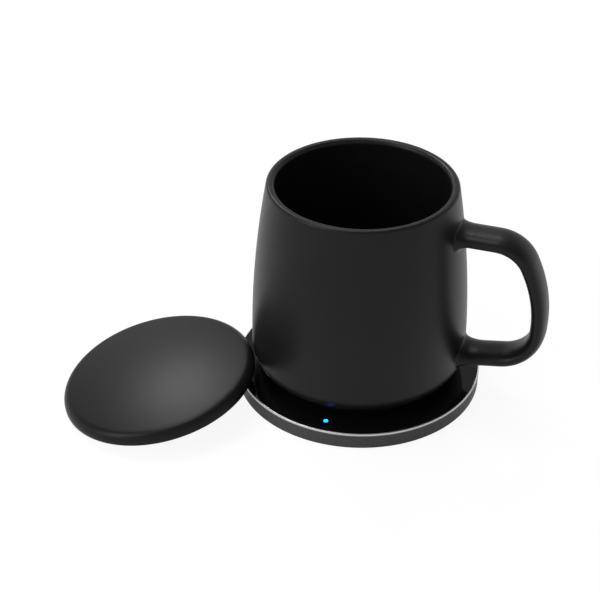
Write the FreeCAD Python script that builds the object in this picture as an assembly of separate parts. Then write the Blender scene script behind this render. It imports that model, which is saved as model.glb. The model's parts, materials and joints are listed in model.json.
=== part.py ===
"""Self-heating mug on its charging coaster, with its lid leaning beside it.

Millimetres and degrees, +Z up. The origin is the centre of the coaster on
the table. The handle points along +X, the status light is towards -Y and the
power socket opens towards +Y.
"""
import FreeCAD
import Part
import math
import os

# Coaster case
COASTER_D = 111.7
COASTER_H = 7.9
SIDE_WALL = 1.6
PANEL_T = 1.4
TRIM_W = 0.5
TRIM_PROUD = 0.1
TRIM_ROUND = 0.25
LEDGE_W = 3.0
LEDGE_T = 0.8
TAPE_T = 0.2
BASE_T = 1.6
PAD_INSET = 6.6
PAD_T = 1.0
PAD_PROUD = 0.3
FIT_GAP = 0.1

# Coaster fastening
POST_D = 4.4
POST_INSET = 3.3
CASE_SCREW_D = 1.6
CASE_SCREW_HEAD_D = 3.2
CASE_SCREW_HEAD_T = 0.8
CASE_SCREW_LENGTH = 3.4
THREAD_GAP = 0.03
SCREW_CROSS_L = 0.6
SCREW_CROSS_W = 0.2

# Charging coils, alike in coaster and mug
COIL_EDGE_W = 2.5
COIL_INNER_D = 16.0
COIL_T = 1.2
FERRITE_T = 0.8
COIL_TO_PANEL = 0.4
LEAD_D = 1.0
LEAD_SPACING = 5.0
LEAD_INSET = 1.0

# Coaster circuit
CARRIER_RIM_W = 1.5
CARRIER_WALL = 2.5
CARRIER_TOP_T = 0.8
BOARD_T = 1.0
BOARD_TO_CARRIER = 2.5
BOARD_EDGE_GAP = 1.5
BOARD_SWEEP = 76.0
BOARD_SCREW_INSET = 10.5
BOARD_SCREW_SWEEP = 51.0
BOARD_SCREW_D = 1.4
BOARD_SCREW_HEAD_D = 2.6
BOARD_SCREW_HEAD_T = 0.7
BOARD_POST_D = 3.6
SENSOR_D = 3.6

# Parts on the two boards
CHIP_SIZE = 5.0
CHIP_T = 0.9
SMALL_CHIP_SIZE = 4.0
SWITCH_L = 3.2
SWITCH_W = 4.0
INDUCTOR_SIZE = 6.0
INDUCTOR_AIR = 0.7
CAPACITOR_L = 3.2
CAPACITOR_W = 2.5
CAPACITOR_T = 1.5
RESISTOR_L = 2.0
RESISTOR_W = 1.2
RESISTOR_T = 0.8
CHIP_ROW = 8.0
CHIP_TURN = 12
SWITCH_ROW = 14.0
CAPACITOR_ROW = 5.5
CAPACITOR_TURNS = (22, 29)
RESISTOR_ROW = 5.4
RESISTOR_TURN = 30
MUG_CHIP_ROW = 11.0
MUG_CHIP_ANGLES = (45, 135)
MUG_SMALL_CHIP_ANGLE = 315
MUG_INDUCTOR_ANGLE = 225
MUG_CAPACITOR_ROW = 18.0
MUG_CAPACITOR_ANGLES = (75, 90, 105, 180)

# Power socket
SOCKET_W = 8.94
SOCKET_H = 3.2
SOCKET_DEPTH = 7.35
SOCKET_WALL = 0.32
SOCKET_BACK = 1.0
SOCKET_INSET = 0.4
SOCKET_GAP = 0.15
SOCKET_TO_BASE = 0.1
TONGUE_W = 6.6
TONGUE_T = 0.7
TONGUE_LENGTH = 4.6
TAB_W = 1.2
TAB_T = 0.3
TAB_ROOT = 0.8

# Status light
LIGHT_INSET = 5.2
LIGHT_D = 2.0
LIGHT_FLANGE_D = 3.4
LIGHT_FLANGE_T = 0.6
LED_SIZE = 1.6
LED_T = 0.9
LED_GAP = 0.1
LED_BOARD_W = 13.0
LED_BOARD_L = 7.0
LED_BOARD_T = 0.8
LED_BOARD_SHIFT = 0.7
LED_POST_D = 2.2
LED_POST_INSET = 1.7
RIBBON_INSET = 8.9
RIBBON_W = 3.0
RIBBON_T = 0.2
RIBBON_OVERLAP = 3.0
CONNECTOR_W = 4.0
CONNECTOR_DEPTH = 2.4

# Mug body
MUG_H = 93.8
BELLY_D = 97.8
WALL_ARC = 457.0
BASE_ROUND = 10.0
BASE_LIFT = 2.4
BASE_FLAT_W = 0.4
MUG_WALL = 4.0
LIP_OUTER_ROUND = 1.5
LIP_FLAT = 0.5
FLOOR_T = 4.0
FLOOR_ROUND = 8.0

# Handle, measured to its centreline from the mug's belly and foot
HANDLE_TOP_Z = 76.3
HANDLE_SHOULDER_OUT = 21.4
HANDLE_REACH_OUT = 33.4
HANDLE_REACH_Z = 52.0
HANDLE_HEEL_OUT = 31.8
HANDLE_HEEL_Z = 20.4
HANDLE_FOOT_Z = 15.0
HANDLE_SHOULDER_ROUND = 15.9
HANDLE_BACK_ROUND = 64.5
HANDLE_HEEL_ROUND = 17.8
HANDLE_THICK = 7.0
HANDLE_WIDE = 16.6

# Mug base, from the foot up
FOOT_INSET = 1.4
FOOT_W = 6.5
FOOT_T = 1.6
FOOT_PROUD = 1.0
COVER_T = 2.0
GASKET_T = 0.6
GASKET_W = 1.6
CHASSIS_WALL = 1.6
WEB_T = 1.0
BOND_GAP = 0.3
BOND_H = 3.0
BOSS_D = 4.6
COVER_SCREW_D = 2.0
COVER_SCREW_HEAD_D = 3.8
COVER_SCREW_HEAD_T = 0.8
COVER_SCREW_LENGTH = 5.5
MUG_BOARD_GAP = 1.45
MUG_BOARD_AIR = 0.4
MUG_BOARD_SCREW_INSET = 1.9
MUG_BOARD_SCREW_GAP = 0.3
PARTS_HEADROOM = 1.8
CELL_L = 44.0
CELL_T = 5.0
CELL_APART = 1.0
CELL_CORNER_GAP = 2.2
CELL_ROUND = 1.2
FOAM_T = 2.2
FILM_T = 0.3
FILM_INSET = 3.0
SPREADER_T = 1.1
SPREADER_INSET = 0.5
LEAD_HOLE_D = 5.0
HEATER_LEAD_INSET = 1.7
MUG_SENSOR_D = 3.0
MUG_SENSOR_T = 1.6
SENSOR_GAP = 0.3

# Lid
SKIRT_WALL = 1.95
LID_EDGE_ROUND = 4.8
LID_SIDE_H = 0.2
LID_BOTTOM_ROUND = 0.9
LID_CROWN = 2.4
LID_WALL = 2.0
LID_RIM_GAP = 0.6
SKIRT_DEPTH = 2.6
SEAL_T = 1.4
SEAL_LIP_T = 2.0
SEAL_LIP_H = 2.2
SEAL_SQUEEZE = 0.3
LINER_T = 1.6
LINER_LOW = 1.4
LINER_RIB = 1.5
LID_TILT = 10.9
LID_TURN = -5.5
LID_BEARING = 210.0
LEAN_GAP = 0.5

# Levels of the mug's body, from the table
seat = COASTER_H
rim_z = seat + MUG_H
under_z = seat + BASE_LIFT
belly_z = under_z + BASE_ROUND
belly_r = BELLY_D / 2
lip_inner_round = MUG_WALL - LIP_OUTER_ROUND - LIP_FLAT

# Rings of the mug's base, from the opening inwards
opening_r = belly_r - BASE_ROUND - BASE_FLAT_W
cover_r = opening_r - FIT_GAP
foot_r = cover_r - FOOT_INSET
boss_ring_r = foot_r - FOOT_W / 2
chassis_r = opening_r - BOND_GAP
chassis_inner_r = chassis_r - CHASSIS_WALL
mug_board_r = boss_ring_r - BOSS_D / 2 - MUG_BOARD_GAP
mug_board_screw_r = mug_board_r - MUG_BOARD_SCREW_INSET
heater_lead_x = mug_board_r - HEATER_LEAD_INSET
spreader_r = opening_r - SPREADER_INSET
film_r = spreader_r - FILM_INSET
ferrite_r = mug_board_screw_r - BOARD_SCREW_HEAD_D / 2 - MUG_BOARD_SCREW_GAP
coil_r = ferrite_r - COIL_EDGE_W
COVER_SCREW_ANGLES = (0, 90, 180, 270)
BOARD_SCREW_ANGLES = (30, 150, 270)

# Levels of the mug's base, from its cover up
cover_z = seat + FOOT_PROUD
cover_top = cover_z + COVER_T
chassis_z = cover_top + GASKET_T
mug_ferrite_z = cover_top + COIL_T
mug_board_z = mug_ferrite_z + FERRITE_T + MUG_BOARD_AIR
mug_board_top = mug_board_z + BOARD_T
web_z = mug_board_top + PARTS_HEADROOM
cell_z = web_z + WEB_T
foam_z = cell_z + CELL_T
film_z = foam_z + FOAM_T
spreader_z = film_z + FILM_T
ceiling_z = spreader_z + SPREADER_T
floor_z = ceiling_z + FLOOR_T

# Levels and rings of the coaster
case_r = COASTER_D / 2
case_inner_r = case_r - SIDE_WALL
panel_z = COASTER_H - PANEL_T
panel_r = case_r + TRIM_PROUD - TRIM_W - FIT_GAP
ledge_z = panel_z - TAPE_T
ledge_r = case_inner_r - LEDGE_W
base_top = PAD_PROUD + BASE_T
case_screw_seat = PAD_PROUD + CASE_SCREW_HEAD_T
coil_z = panel_z - COIL_TO_PANEL - COIL_T
ferrite_z = coil_z - FERRITE_T
carrier_r = ferrite_r + CARRIER_RIM_W
socket_z = base_top + SOCKET_TO_BASE + SOCKET_H / 2
socket_y = case_r - SOCKET_INSET
board_z = socket_z - BOARD_T / 2
board_top = board_z + BOARD_T
board_inner_r = carrier_r + BOARD_TO_CARRIER
board_outer_r = case_inner_r - BOARD_EDGE_GAP
board_screw_r = board_inner_r + BOARD_SCREW_INSET
board_start = 90 - BOARD_SWEEP / 2
post_ring_r = case_inner_r - POST_INSET
pad_r = post_ring_r - PAD_INSET
light_y = LIGHT_INSET - case_inner_r
led_post_x = LED_BOARD_W / 2 - LED_POST_INSET
ribbon_r = case_inner_r - RIBBON_INSET
POST_ANGLES = (45, 135, 225, 315)


def vec(x=0.0, y=0.0, z=0.0):
    return FreeCAD.Vector(x, y, z)


def polar(radius, angle, z=0.0):
    turn = math.radians(angle)
    return vec(radius * math.cos(turn), radius * math.sin(turn), z)


def disc(radius, low, high, centre=FreeCAD.Vector()):
    return Part.makeCylinder(radius, high - low, vec(centre.x, centre.y, low))


def ring(outer, inner, low, high):
    return disc(outer, low, high).cut(disc(inner, low, high))


def sector(outer, inner, low, high, start, sweep):
    """A ring's stretch of sweep degrees from the angle start."""
    wedge = Part.makeCylinder(outer, high - low, vec(0, 0, low), vec(0, 0, 1), sweep)
    return turn_z(wedge.cut(disc(inner, low, high)), start)


def block(length, width, low, high, centre=FreeCAD.Vector(), turn=0.0):
    corner = vec(-length / 2, -width / 2, low)
    solid = turn_z(Part.makeBox(length, width, high - low, corner), turn)
    solid.translate(vec(centre.x, centre.y))
    return solid


def turn_z(solid, angle):
    moved = solid.copy()
    moved.rotate(vec(), vec(0, 0, 1), angle)
    return moved


def fuse(solids):
    joined = solids[0].multiFuse(solids[1:]) if len(solids) > 1 else solids[0]
    return joined.removeSplitter()


def group(solids):
    return Part.makeCompound(solids)


def line(a, b):
    return Part.LineSegment(a, b).toShape()


def arc(a, middle, b):
    return Part.Arc(a, middle, b).toShape()


def rounded(corners, closed=True):
    """Edges in the XZ plane through corners given as (x, z, radius)."""
    points = [vec(x, 0, z) for x, z, _ in corners]
    count = len(points)
    bends = []
    for i, (x, z, radius) in enumerate(corners):
        point = points[i]
        at_end = not closed and i in (0, count - 1)
        if at_end or radius == 0:
            bends.append((point, None, point))
            continue
        back = (points[i - 1] - point).normalize()
        ahead = (points[(i + 1) % count] - point).normalize()
        half = back.getAngle(ahead) / 2
        reach = radius / math.tan(half)
        inward = (back + ahead).normalize() * (radius / math.sin(half) - radius)
        bends.append((point + back * reach, point + inward, point + ahead * reach))
    edges = []
    for i, (start, middle, end) in enumerate(bends):
        if middle is not None:
            edges.append(arc(start, middle, end))
        following = bends[(i + 1) % count][0]
        if (closed or i < count - 1) and end.distanceToPoint(following) > 1e-6:
            edges.append(line(end, following))
    return edges


def turned(edges):
    """The solid that a closed outline in the XZ plane sweeps about the Z axis."""
    return Part.Face(Part.Wire(edges)).revolve(vec(), vec(0, 0, 1), 360)


def edges_at(solid, z, radius, reach=0.05):
    """The level circular edges of a solid at a height and radius."""
    found = []
    for edge in solid.Edges:
        box = edge.BoundBox
        level = abs(box.ZMin - z) < reach and abs(box.ZMax - z) < reach
        if level and abs(box.XMax - radius) < reach:
            found.append(edge)
    return found


def screw(centre, head_z, head_d, head_t, shank_d, length, up=1):
    """A cross-head screw; up is the way its shank points from the head's seat."""
    at_seat = vec(centre.x, centre.y, head_z)
    head = Part.makeCylinder(head_d / 2, head_t, at_seat, vec(0, 0, -up))
    shank = Part.makeCylinder(shank_d / 2, length, at_seat, vec(0, 0, up))
    levels = sorted((head_z - up * head_t, head_z - up * head_t / 2))
    slots = [block(head_d * SCREW_CROSS_L, head_d * SCREW_CROSS_W, *levels, centre, turn)
             for turn in (0, 90)]
    return head.fuse(shank).cut(fuse(slots)).removeSplitter()


def lead(points):
    """A round wire through points, with ball corners."""
    radius = LEAD_D / 2
    pieces = []
    for start, end in zip(points, points[1:]):
        run = end - start
        pieces.append(Part.makeCylinder(radius, run.Length, start, run))
    for corner in points[1:-1]:
        pieces.append(Part.makeSphere(radius, corner))
    return fuse(pieces)


def stadium(width, height, depth, centre_z, front_y):
    """A slab with round ends in the XZ plane that runs back from front_y."""
    half = width / 2 - height / 2
    slab = Part.makeBox(2 * half, depth, height, vec(-half, front_y - depth, centre_z - height / 2))
    ends = [Part.makeCylinder(height / 2, depth, vec(x, front_y - depth, centre_z), vec(0, 1, 0))
            for x in (-half, half)]
    return fuse([slab] + ends)


def wall_radius(z, inset=0.0):
    """The mug wall's radius at a height, or that of a surface inset from it."""
    arc_r = WALL_ARC - inset
    return belly_r - WALL_ARC + math.sqrt(arc_r ** 2 - (z - belly_z) ** 2)


def wall_edge(low, high, inset=0.0):
    return arc(*[vec(wall_radius(z, inset), 0, z) for z in (low, (low + high) / 2, high)])


def base_round_edge(inset=0.0):
    """The quarter round under the belly, and its lowest point."""
    centre = vec(belly_r - BASE_ROUND, 0, belly_z)
    radius = BASE_ROUND - inset
    low, middle, out = [centre + vec(radius * math.sin(a), 0, -radius * math.cos(a))
                        for a in (0, math.pi / 4, math.pi / 2)]
    return arc(low, middle, out), low


# Coaster case

def side_ring():
    walls = ring(case_r, case_inner_r, PAD_PROUD, panel_z)
    ledge = ring(case_inner_r, ledge_r, ledge_z - LEDGE_T, ledge_z)
    hole_r = CASE_SCREW_D / 2 + THREAD_GAP
    hole_top = case_screw_seat + CASE_SCREW_LENGTH + THREAD_GAP
    spots = [polar(post_ring_r, angle) for angle in POST_ANGLES]
    posts = [disc(POST_D / 2, base_top, ledge_z - LEDGE_T, spot) for spot in spots]
    holes = [disc(hole_r, base_top, hole_top, spot) for spot in spots]
    mouth = stadium(SOCKET_W + 2 * SOCKET_GAP, SOCKET_H + 2 * SOCKET_GAP,
                    SOCKET_DEPTH + SIDE_WALL, socket_z, case_r + SIDE_WALL)
    return fuse([walls, ledge] + posts).cut(group(holes + [mouth]))


def trim_ring():
    outer = case_r + TRIM_PROUD
    inner = outer - TRIM_W
    return turned(rounded([(inner, panel_z, 0), (outer, panel_z, 0),
                           (outer, COASTER_H, TRIM_ROUND), (inner, COASTER_H, 0)]))


def top_panel():
    panel = disc(panel_r, panel_z, COASTER_H)
    return panel.cut(disc(LIGHT_D / 2 + THREAD_GAP, panel_z, COASTER_H, vec(0, light_y)))


def panel_tape():
    return ring(case_inner_r - FIT_GAP, ledge_r + FIT_GAP, ledge_z, panel_z)


def base_plate():
    plate = disc(case_inner_r - FIT_GAP, PAD_PROUD, base_top)
    holes = [disc(pad_r + FIT_GAP, PAD_PROUD, PAD_T)]
    for angle in POST_ANGLES:
        spot = polar(post_ring_r, angle)
        holes.append(disc(CASE_SCREW_HEAD_D / 2 + FIT_GAP, PAD_PROUD, case_screw_seat, spot))
        holes.append(disc(CASE_SCREW_D / 2 + FIT_GAP, case_screw_seat, base_top, spot))
    board_posts = []
    for spot in board_screw_spots():
        post = disc(BOARD_POST_D / 2, base_top, board_z, spot)
        board_posts.append(post.cut(disc(BOARD_SCREW_D / 2 + THREAD_GAP, base_top, board_z, spot)))
    led_posts = [disc(LED_POST_D / 2, base_top, board_z, vec(x, light_y))
                 for x in (-led_post_x, led_post_x)]
    return fuse([plate.cut(group(holes))] + board_posts + led_posts)


def foot_pad():
    return disc(pad_r, 0, PAD_T)


def case_screws():
    return group([screw(polar(post_ring_r, angle), case_screw_seat, CASE_SCREW_HEAD_D,
                        CASE_SCREW_HEAD_T - FIT_GAP, CASE_SCREW_D, CASE_SCREW_LENGTH)
                  for angle in POST_ANGLES])


# Coaster circuit

def coil_carrier():
    top = disc(carrier_r, ferrite_z - CARRIER_TOP_T, ferrite_z)
    wall = ring(carrier_r, carrier_r - CARRIER_WALL, base_top, ferrite_z)
    return fuse([top, wall])


def coil_leads(from_z, bend_y, to_z):
    """Two wires from a coil's outer edge, out past the ferrite and to a board."""
    leads = []
    for x in (-LEAD_SPACING / 2, LEAD_SPACING / 2):
        start_y = math.sqrt(coil_r ** 2 - (abs(x) - LEAD_D / 2) ** 2)
        leads.append(lead([vec(x, start_y, from_z), vec(x, bend_y, from_z), vec(x, bend_y, to_z)]))
    return group(leads)


def board_screw_spots():
    return [polar(board_screw_r, 90 + side * BOARD_SCREW_SWEEP / 2) for side in (-1, 1)]


def main_board():
    board = sector(board_outer_r, board_inner_r, board_z, board_top, board_start, BOARD_SWEEP)
    notch_w = SOCKET_W + 2 * SOCKET_GAP
    notch_y = socket_y - SOCKET_DEPTH - SOCKET_GAP
    notch = Part.makeBox(notch_w, board_outer_r, BOARD_T, vec(-notch_w / 2, notch_y, board_z))
    holes = [disc(BOARD_SCREW_D / 2 + FIT_GAP, board_z, board_top, spot)
             for spot in board_screw_spots()]
    return board.cut(group(holes + [notch]))


def package(length, width, low, tall, radius, angle):
    """A board part whose length points outwards from the board's centre."""
    return block(length, width, low, low + tall, polar(radius, angle), angle)


def main_board_parts():
    """Driver, inductor, switches, tuning capacitors and resistors of the coaster."""
    chip_row = board_inner_r + CHIP_ROW
    inductor_t = panel_z - board_top - INDUCTOR_AIR
    parts = [package(CHIP_SIZE, CHIP_SIZE, board_top, CHIP_T, chip_row, 90 - CHIP_TURN),
             package(INDUCTOR_SIZE, INDUCTOR_SIZE, board_top, inductor_t, chip_row,
                     90 + CHIP_TURN)]
    for side in (-1, 1):
        parts.append(package(SWITCH_L, SWITCH_W, board_top, CHIP_T,
                             board_inner_r + SWITCH_ROW, 90 + side * CHIP_TURN))
        parts.append(package(RESISTOR_L, RESISTOR_W, board_top, RESISTOR_T,
                             board_outer_r - RESISTOR_ROW, 90 + side * RESISTOR_TURN))
        parts += [package(CAPACITOR_L, CAPACITOR_W, board_top, CAPACITOR_T,
                          board_inner_r + CAPACITOR_ROW, 90 + side * turn)
                  for turn in CAPACITOR_TURNS]
    return group(parts)


def board_screws():
    return group([screw(spot, board_top, BOARD_SCREW_HEAD_D, BOARD_SCREW_HEAD_T,
                        BOARD_SCREW_D, board_top - base_top, up=-1)
                  for spot in board_screw_spots()])


def panel_sensor():
    return disc(SENSOR_D / 2, coil_z, panel_z)


def power_socket():
    """A shell round a tongue, with a tab each side that lies on the board."""
    body = stadium(SOCKET_W, SOCKET_H, SOCKET_DEPTH, socket_z, socket_y)
    hollow = stadium(SOCKET_W - 2 * SOCKET_WALL, SOCKET_H - 2 * SOCKET_WALL,
                     SOCKET_DEPTH - SOCKET_BACK, socket_z, socket_y)
    back_y = socket_y - SOCKET_DEPTH
    tongue = Part.makeBox(TONGUE_W, TONGUE_LENGTH, TONGUE_T,
                          vec(-TONGUE_W / 2, back_y + SOCKET_BACK, socket_z - TONGUE_T / 2))
    inner_x = SOCKET_W / 2 - TAB_ROOT
    outer_x = SOCKET_W / 2 + SOCKET_GAP + TAB_W
    tabs = [Part.makeBox(outer_x - inner_x, SOCKET_DEPTH / 2, TAB_T, vec(x, back_y, board_top))
            for x in (-outer_x, inner_x)]
    shell = fuse([body] + tabs).cut(hollow)
    return fuse([shell, tongue])


# Status light

def led_board():
    centre = vec(0, light_y + LED_BOARD_SHIFT)
    return block(LED_BOARD_W, LED_BOARD_L, board_z, board_z + LED_BOARD_T, centre)


def status_led():
    low = board_z + LED_BOARD_T
    return block(LED_SIZE, LED_SIZE, low, low + LED_T, vec(0, light_y))


def light_guide():
    low = board_z + LED_BOARD_T + LED_T + LED_GAP
    stem = disc(LIGHT_D / 2, low, COASTER_H, vec(0, light_y))
    flange = disc(LIGHT_FLANGE_D / 2, panel_z - LIGHT_FLANGE_T, panel_z, vec(0, light_y))
    return fuse([stem, flange])


def ribbon_ends():
    """The angles at which the ribbon's two connectors stand."""
    return -90, board_start + RIBBON_OVERLAP


def led_ribbon():
    spare = math.degrees(CONNECTOR_W / 2 / ribbon_r)
    start, end = ribbon_ends()
    return sector(ribbon_r + RIBBON_W / 2, ribbon_r - RIBBON_W / 2, base_top,
                  base_top + RIBBON_T, start - spare, end - start + 2 * spare)


def ribbon_connectors():
    low = base_top + RIBBON_T
    return group([package(CONNECTOR_DEPTH, CONNECTOR_W, low, board_z - low, ribbon_r, angle)
                  for angle in ribbon_ends()])


# Mug

def mug_block():
    """The mug's outer form, solid through."""
    under, low = base_round_edge()
    return turned([
        under,
        wall_edge(belly_z, rim_z),
        line(vec(wall_radius(rim_z), 0, rim_z), vec(0, 0, rim_z)),
        line(vec(0, 0, rim_z), vec(0, 0, low.z)),
        line(vec(0, 0, low.z), low),
    ])


def drink_space():
    low_r = wall_radius(floor_z, MUG_WALL)
    top_r = wall_radius(rim_z, MUG_WALL)
    solid = turned([
        line(vec(0, 0, floor_z), vec(low_r, 0, floor_z)),
        wall_edge(floor_z, rim_z, MUG_WALL),
        line(vec(top_r, 0, rim_z), vec(0, 0, rim_z)),
        line(vec(0, 0, rim_z), vec(0, 0, floor_z)),
    ])
    return solid.makeFillet(FLOOR_ROUND, edges_at(solid, floor_z, low_r))


def compartment():
    """The space for heater, cells and coil, open below."""
    under, low = base_round_edge(MUG_WALL)
    top_r = wall_radius(ceiling_z, MUG_WALL)
    return turned([
        line(vec(0, 0, under_z), vec(opening_r, 0, under_z)),
        line(vec(opening_r, 0, under_z), vec(opening_r, 0, low.z)),
        line(vec(opening_r, 0, low.z), low),
        under,
        wall_edge(belly_z, ceiling_z, MUG_WALL),
        line(vec(top_r, 0, ceiling_z), vec(0, 0, ceiling_z)),
        line(vec(0, 0, ceiling_z), vec(0, 0, under_z)),
    ])


def mug_shell():
    solid = mug_block().cut(drink_space()).cut(compartment())
    solid = solid.makeFillet(LIP_OUTER_ROUND, edges_at(solid, rim_z, wall_radius(rim_z)))
    inner = edges_at(solid, rim_z, wall_radius(rim_z, MUG_WALL))
    return solid.makeFillet(lip_inner_round, inner)


def handle():
    """An oval bar along a rounded D, cut to meet the mug's wall."""
    root = MUG_WALL / 2
    top = seat + HANDLE_TOP_Z
    foot = seat + HANDLE_FOOT_Z
    path = Part.Wire(rounded([
        (wall_radius(top) - root, top, 0),
        (belly_r + HANDLE_SHOULDER_OUT, top, HANDLE_SHOULDER_ROUND),
        (belly_r + HANDLE_REACH_OUT, seat + HANDLE_REACH_Z, HANDLE_BACK_ROUND),
        (belly_r + HANDLE_HEEL_OUT, seat + HANDLE_HEEL_Z, HANDLE_HEEL_ROUND),
        (wall_radius(foot) - root, foot, 0),
    ], closed=False))
    oval = Part.Ellipse(vec(0, HANDLE_WIDE / 2, 0), vec(0, 0, HANDLE_THICK / 2), vec()).toShape()
    oval.translate(path.OrderedVertexes[0].Point)
    bar = path.makePipeShell([Part.Wire(oval)], True, False)
    return bar.cut(mug_block())


# Mug base

def cover_screw_spots():
    return [polar(boss_ring_r, angle) for angle in COVER_SCREW_ANGLES]


def mug_board_screw_spots():
    return [polar(mug_board_screw_r, angle) for angle in BOARD_SCREW_ANGLES]


def base_cover():
    plate = disc(cover_r, cover_z, cover_top)
    groove = ring(foot_r + FIT_GAP, foot_r - FOOT_W - FIT_GAP, cover_z, seat + FOOT_T)
    holes = [disc(COVER_SCREW_D / 2 + FIT_GAP, cover_z, cover_top, spot)
             for spot in cover_screw_spots()]
    return plate.cut(group([groove])).cut(group(holes))


def foot_ring():
    """The ring that the mug stands on, with pockets for the screws' heads."""
    low = seat + FOOT_T - COVER_SCREW_HEAD_T - FIT_GAP
    pockets = [disc(COVER_SCREW_HEAD_D / 2 + FIT_GAP, low, seat + FOOT_T, spot)
               for spot in cover_screw_spots()]
    return ring(foot_r, foot_r - FOOT_W, seat, seat + FOOT_T).cut(group(pockets))


def cover_screws():
    return group([screw(spot, seat + FOOT_T, COVER_SCREW_HEAD_D, COVER_SCREW_HEAD_T,
                        COVER_SCREW_D, COVER_SCREW_LENGTH) for spot in cover_screw_spots()])


def base_gasket():
    return ring(chassis_r, chassis_r - GASKET_W, cover_top, chassis_z)


def bond_ring():
    return ring(opening_r, chassis_r, chassis_z, chassis_z + BOND_H)


def chassis():
    """Inner frame: its web carries the cells above and the board below."""
    wall = ring(chassis_r, chassis_inner_r, chassis_z, foam_z)
    web = disc(chassis_inner_r, web_z, cell_z)
    solids = [wall, web]
    bores = [disc(LEAD_HOLE_D / 2, web_z, cell_z, vec(heater_lead_x))]
    for spot in cover_screw_spots():
        solids.append(disc(BOSS_D / 2, cover_top, web_z, spot))
        bores.append(disc(COVER_SCREW_D / 2 + THREAD_GAP, cover_top, web_z, spot))
    for spot in mug_board_screw_spots():
        solids.append(disc(BOARD_POST_D / 2, mug_board_top, web_z, spot))
        bores.append(disc(BOARD_SCREW_D / 2 + THREAD_GAP, mug_board_top, web_z, spot))
    return fuse(solids).cut(group(bores))


def mug_board():
    board = disc(mug_board_r, mug_board_z, mug_board_top)
    holes = [disc(BOARD_SCREW_D / 2 + FIT_GAP, mug_board_z, mug_board_top, spot)
             for spot in mug_board_screw_spots()]
    return board.cut(group(holes))


def mug_board_parts():
    """Receiver, charger, controller, inductor and capacitors of the mug."""
    inductor_t = PARTS_HEADROOM - THREAD_GAP
    parts = [package(SMALL_CHIP_SIZE, SMALL_CHIP_SIZE, mug_board_top, CHIP_T,
                     MUG_CHIP_ROW, MUG_SMALL_CHIP_ANGLE),
             package(INDUCTOR_SIZE, INDUCTOR_SIZE, mug_board_top, inductor_t,
                     MUG_CHIP_ROW, MUG_INDUCTOR_ANGLE)]
    parts += [package(CHIP_SIZE, CHIP_SIZE, mug_board_top, CHIP_T, MUG_CHIP_ROW, angle)
              for angle in MUG_CHIP_ANGLES]
    parts += [package(CAPACITOR_L, CAPACITOR_W, mug_board_top, CAPACITOR_T,
                      MUG_CAPACITOR_ROW, angle) for angle in MUG_CAPACITOR_ANGLES]
    return group(parts)


def mug_board_screws():
    length = BOARD_T + PARTS_HEADROOM - THREAD_GAP
    return group([screw(spot, mug_board_z, BOARD_SCREW_HEAD_D, BOARD_SCREW_HEAD_T,
                        BOARD_SCREW_D, length) for spot in mug_board_screw_spots()])


def battery_cells():
    """Two flat cells side by side, as wide as the chassis leaves room for."""
    reach = chassis_inner_r - CELL_CORNER_GAP
    width = math.sqrt(reach ** 2 - (CELL_L / 2) ** 2) - CELL_APART / 2
    cells = []
    for side in (-1, 1):
        centre = vec(0, side * (width + CELL_APART) / 2)
        cell = block(CELL_L, width, cell_z, foam_z, centre)
        upright = [edge for edge in cell.Edges if edge.BoundBox.ZLength > CELL_T / 2]
        cells.append(cell.makeFillet(CELL_ROUND, upright))
    return group(cells)


def heat_spreader():
    return disc(spreader_r, spreader_z, ceiling_z)


def heater_film():
    return disc(film_r, film_z, spreader_z)


def insulation():
    """Foam over cells and chassis, with holes for the sensor and the leads."""
    foam = disc(chassis_r, foam_z, film_z)
    sensor_hole = disc(MUG_SENSOR_D / 2 + SENSOR_GAP, foam_z, film_z)
    lead_hole = disc(LEAD_HOLE_D / 2, foam_z, film_z, vec(heater_lead_x))
    return foam.cut(sensor_hole).cut(lead_hole)


def mug_sensor():
    return disc(MUG_SENSOR_D / 2, film_z - MUG_SENSOR_T, film_z)


def heater_leads():
    return group([lead([vec(heater_lead_x, y, film_z), vec(heater_lead_x, y, mug_board_top)])
                  for y in (-LEAD_D, LEAD_D)])


# Lid, first on its own axis with its lower edge at zero, then leaned in place

def lid_skirt_radius():
    """Inside of the lid's skirt, which goes round the mug's rim."""
    return wall_radius(rim_z - SKIRT_DEPTH) + LID_RIM_GAP / 2


def lid_plug_radius():
    """Outside of the seal's lip, which goes into the mug's mouth."""
    return wall_radius(rim_z, MUG_WALL) - SEAL_SQUEEZE


def lid_liner_radius():
    return lid_plug_radius() - SEAL_LIP_T - FIT_GAP


def lid_edge():
    """Radius and height of the centre of the lid's outer rounding, and its radius."""
    outer = lid_skirt_radius() + SKIRT_WALL
    return outer - LID_EDGE_ROUND, LID_BOTTOM_ROUND + LID_SIDE_H, outer


def lid_dome_z(x, drop=0.0):
    """The crown's height over the lid's axis at a radius."""
    flat_r, side_z, _ = lid_edge()
    sphere_r = (flat_r ** 2 + LID_CROWN ** 2) / (2 * LID_CROWN)
    centre_z = side_z + LID_EDGE_ROUND + LID_CROWN - sphere_r
    return centre_z + math.sqrt((sphere_r - drop) ** 2 - x ** 2)


def lean(solid):
    """Tilts the lid towards the mug and sets its low edge on the table."""
    tilt = math.radians(LID_TILT)
    side_r, side_z, outer = lid_edge()
    low_r = outer - LID_BOTTOM_ROUND
    height = low_r * math.sin(tilt) - LID_BOTTOM_ROUND * math.cos(tilt) + LID_BOTTOM_ROUND
    reach = side_r * math.cos(tilt) - side_z * math.sin(tilt)
    rise = height + side_r * math.sin(tilt) + side_z * math.cos(tilt)
    drop = belly_z - rise
    apart = BASE_ROUND + LID_EDGE_ROUND + LEAN_GAP
    distance = belly_r - BASE_ROUND + reach + math.sqrt(apart ** 2 - drop ** 2)
    placed = solid.copy()
    placed.rotate(vec(), vec(0, 1, 0), LID_TILT)
    placed.rotate(vec(), vec(0, 0, 1), LID_TURN)
    placed.translate(vec(distance, 0, height))
    return turn_z(placed, LID_BEARING)


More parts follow.
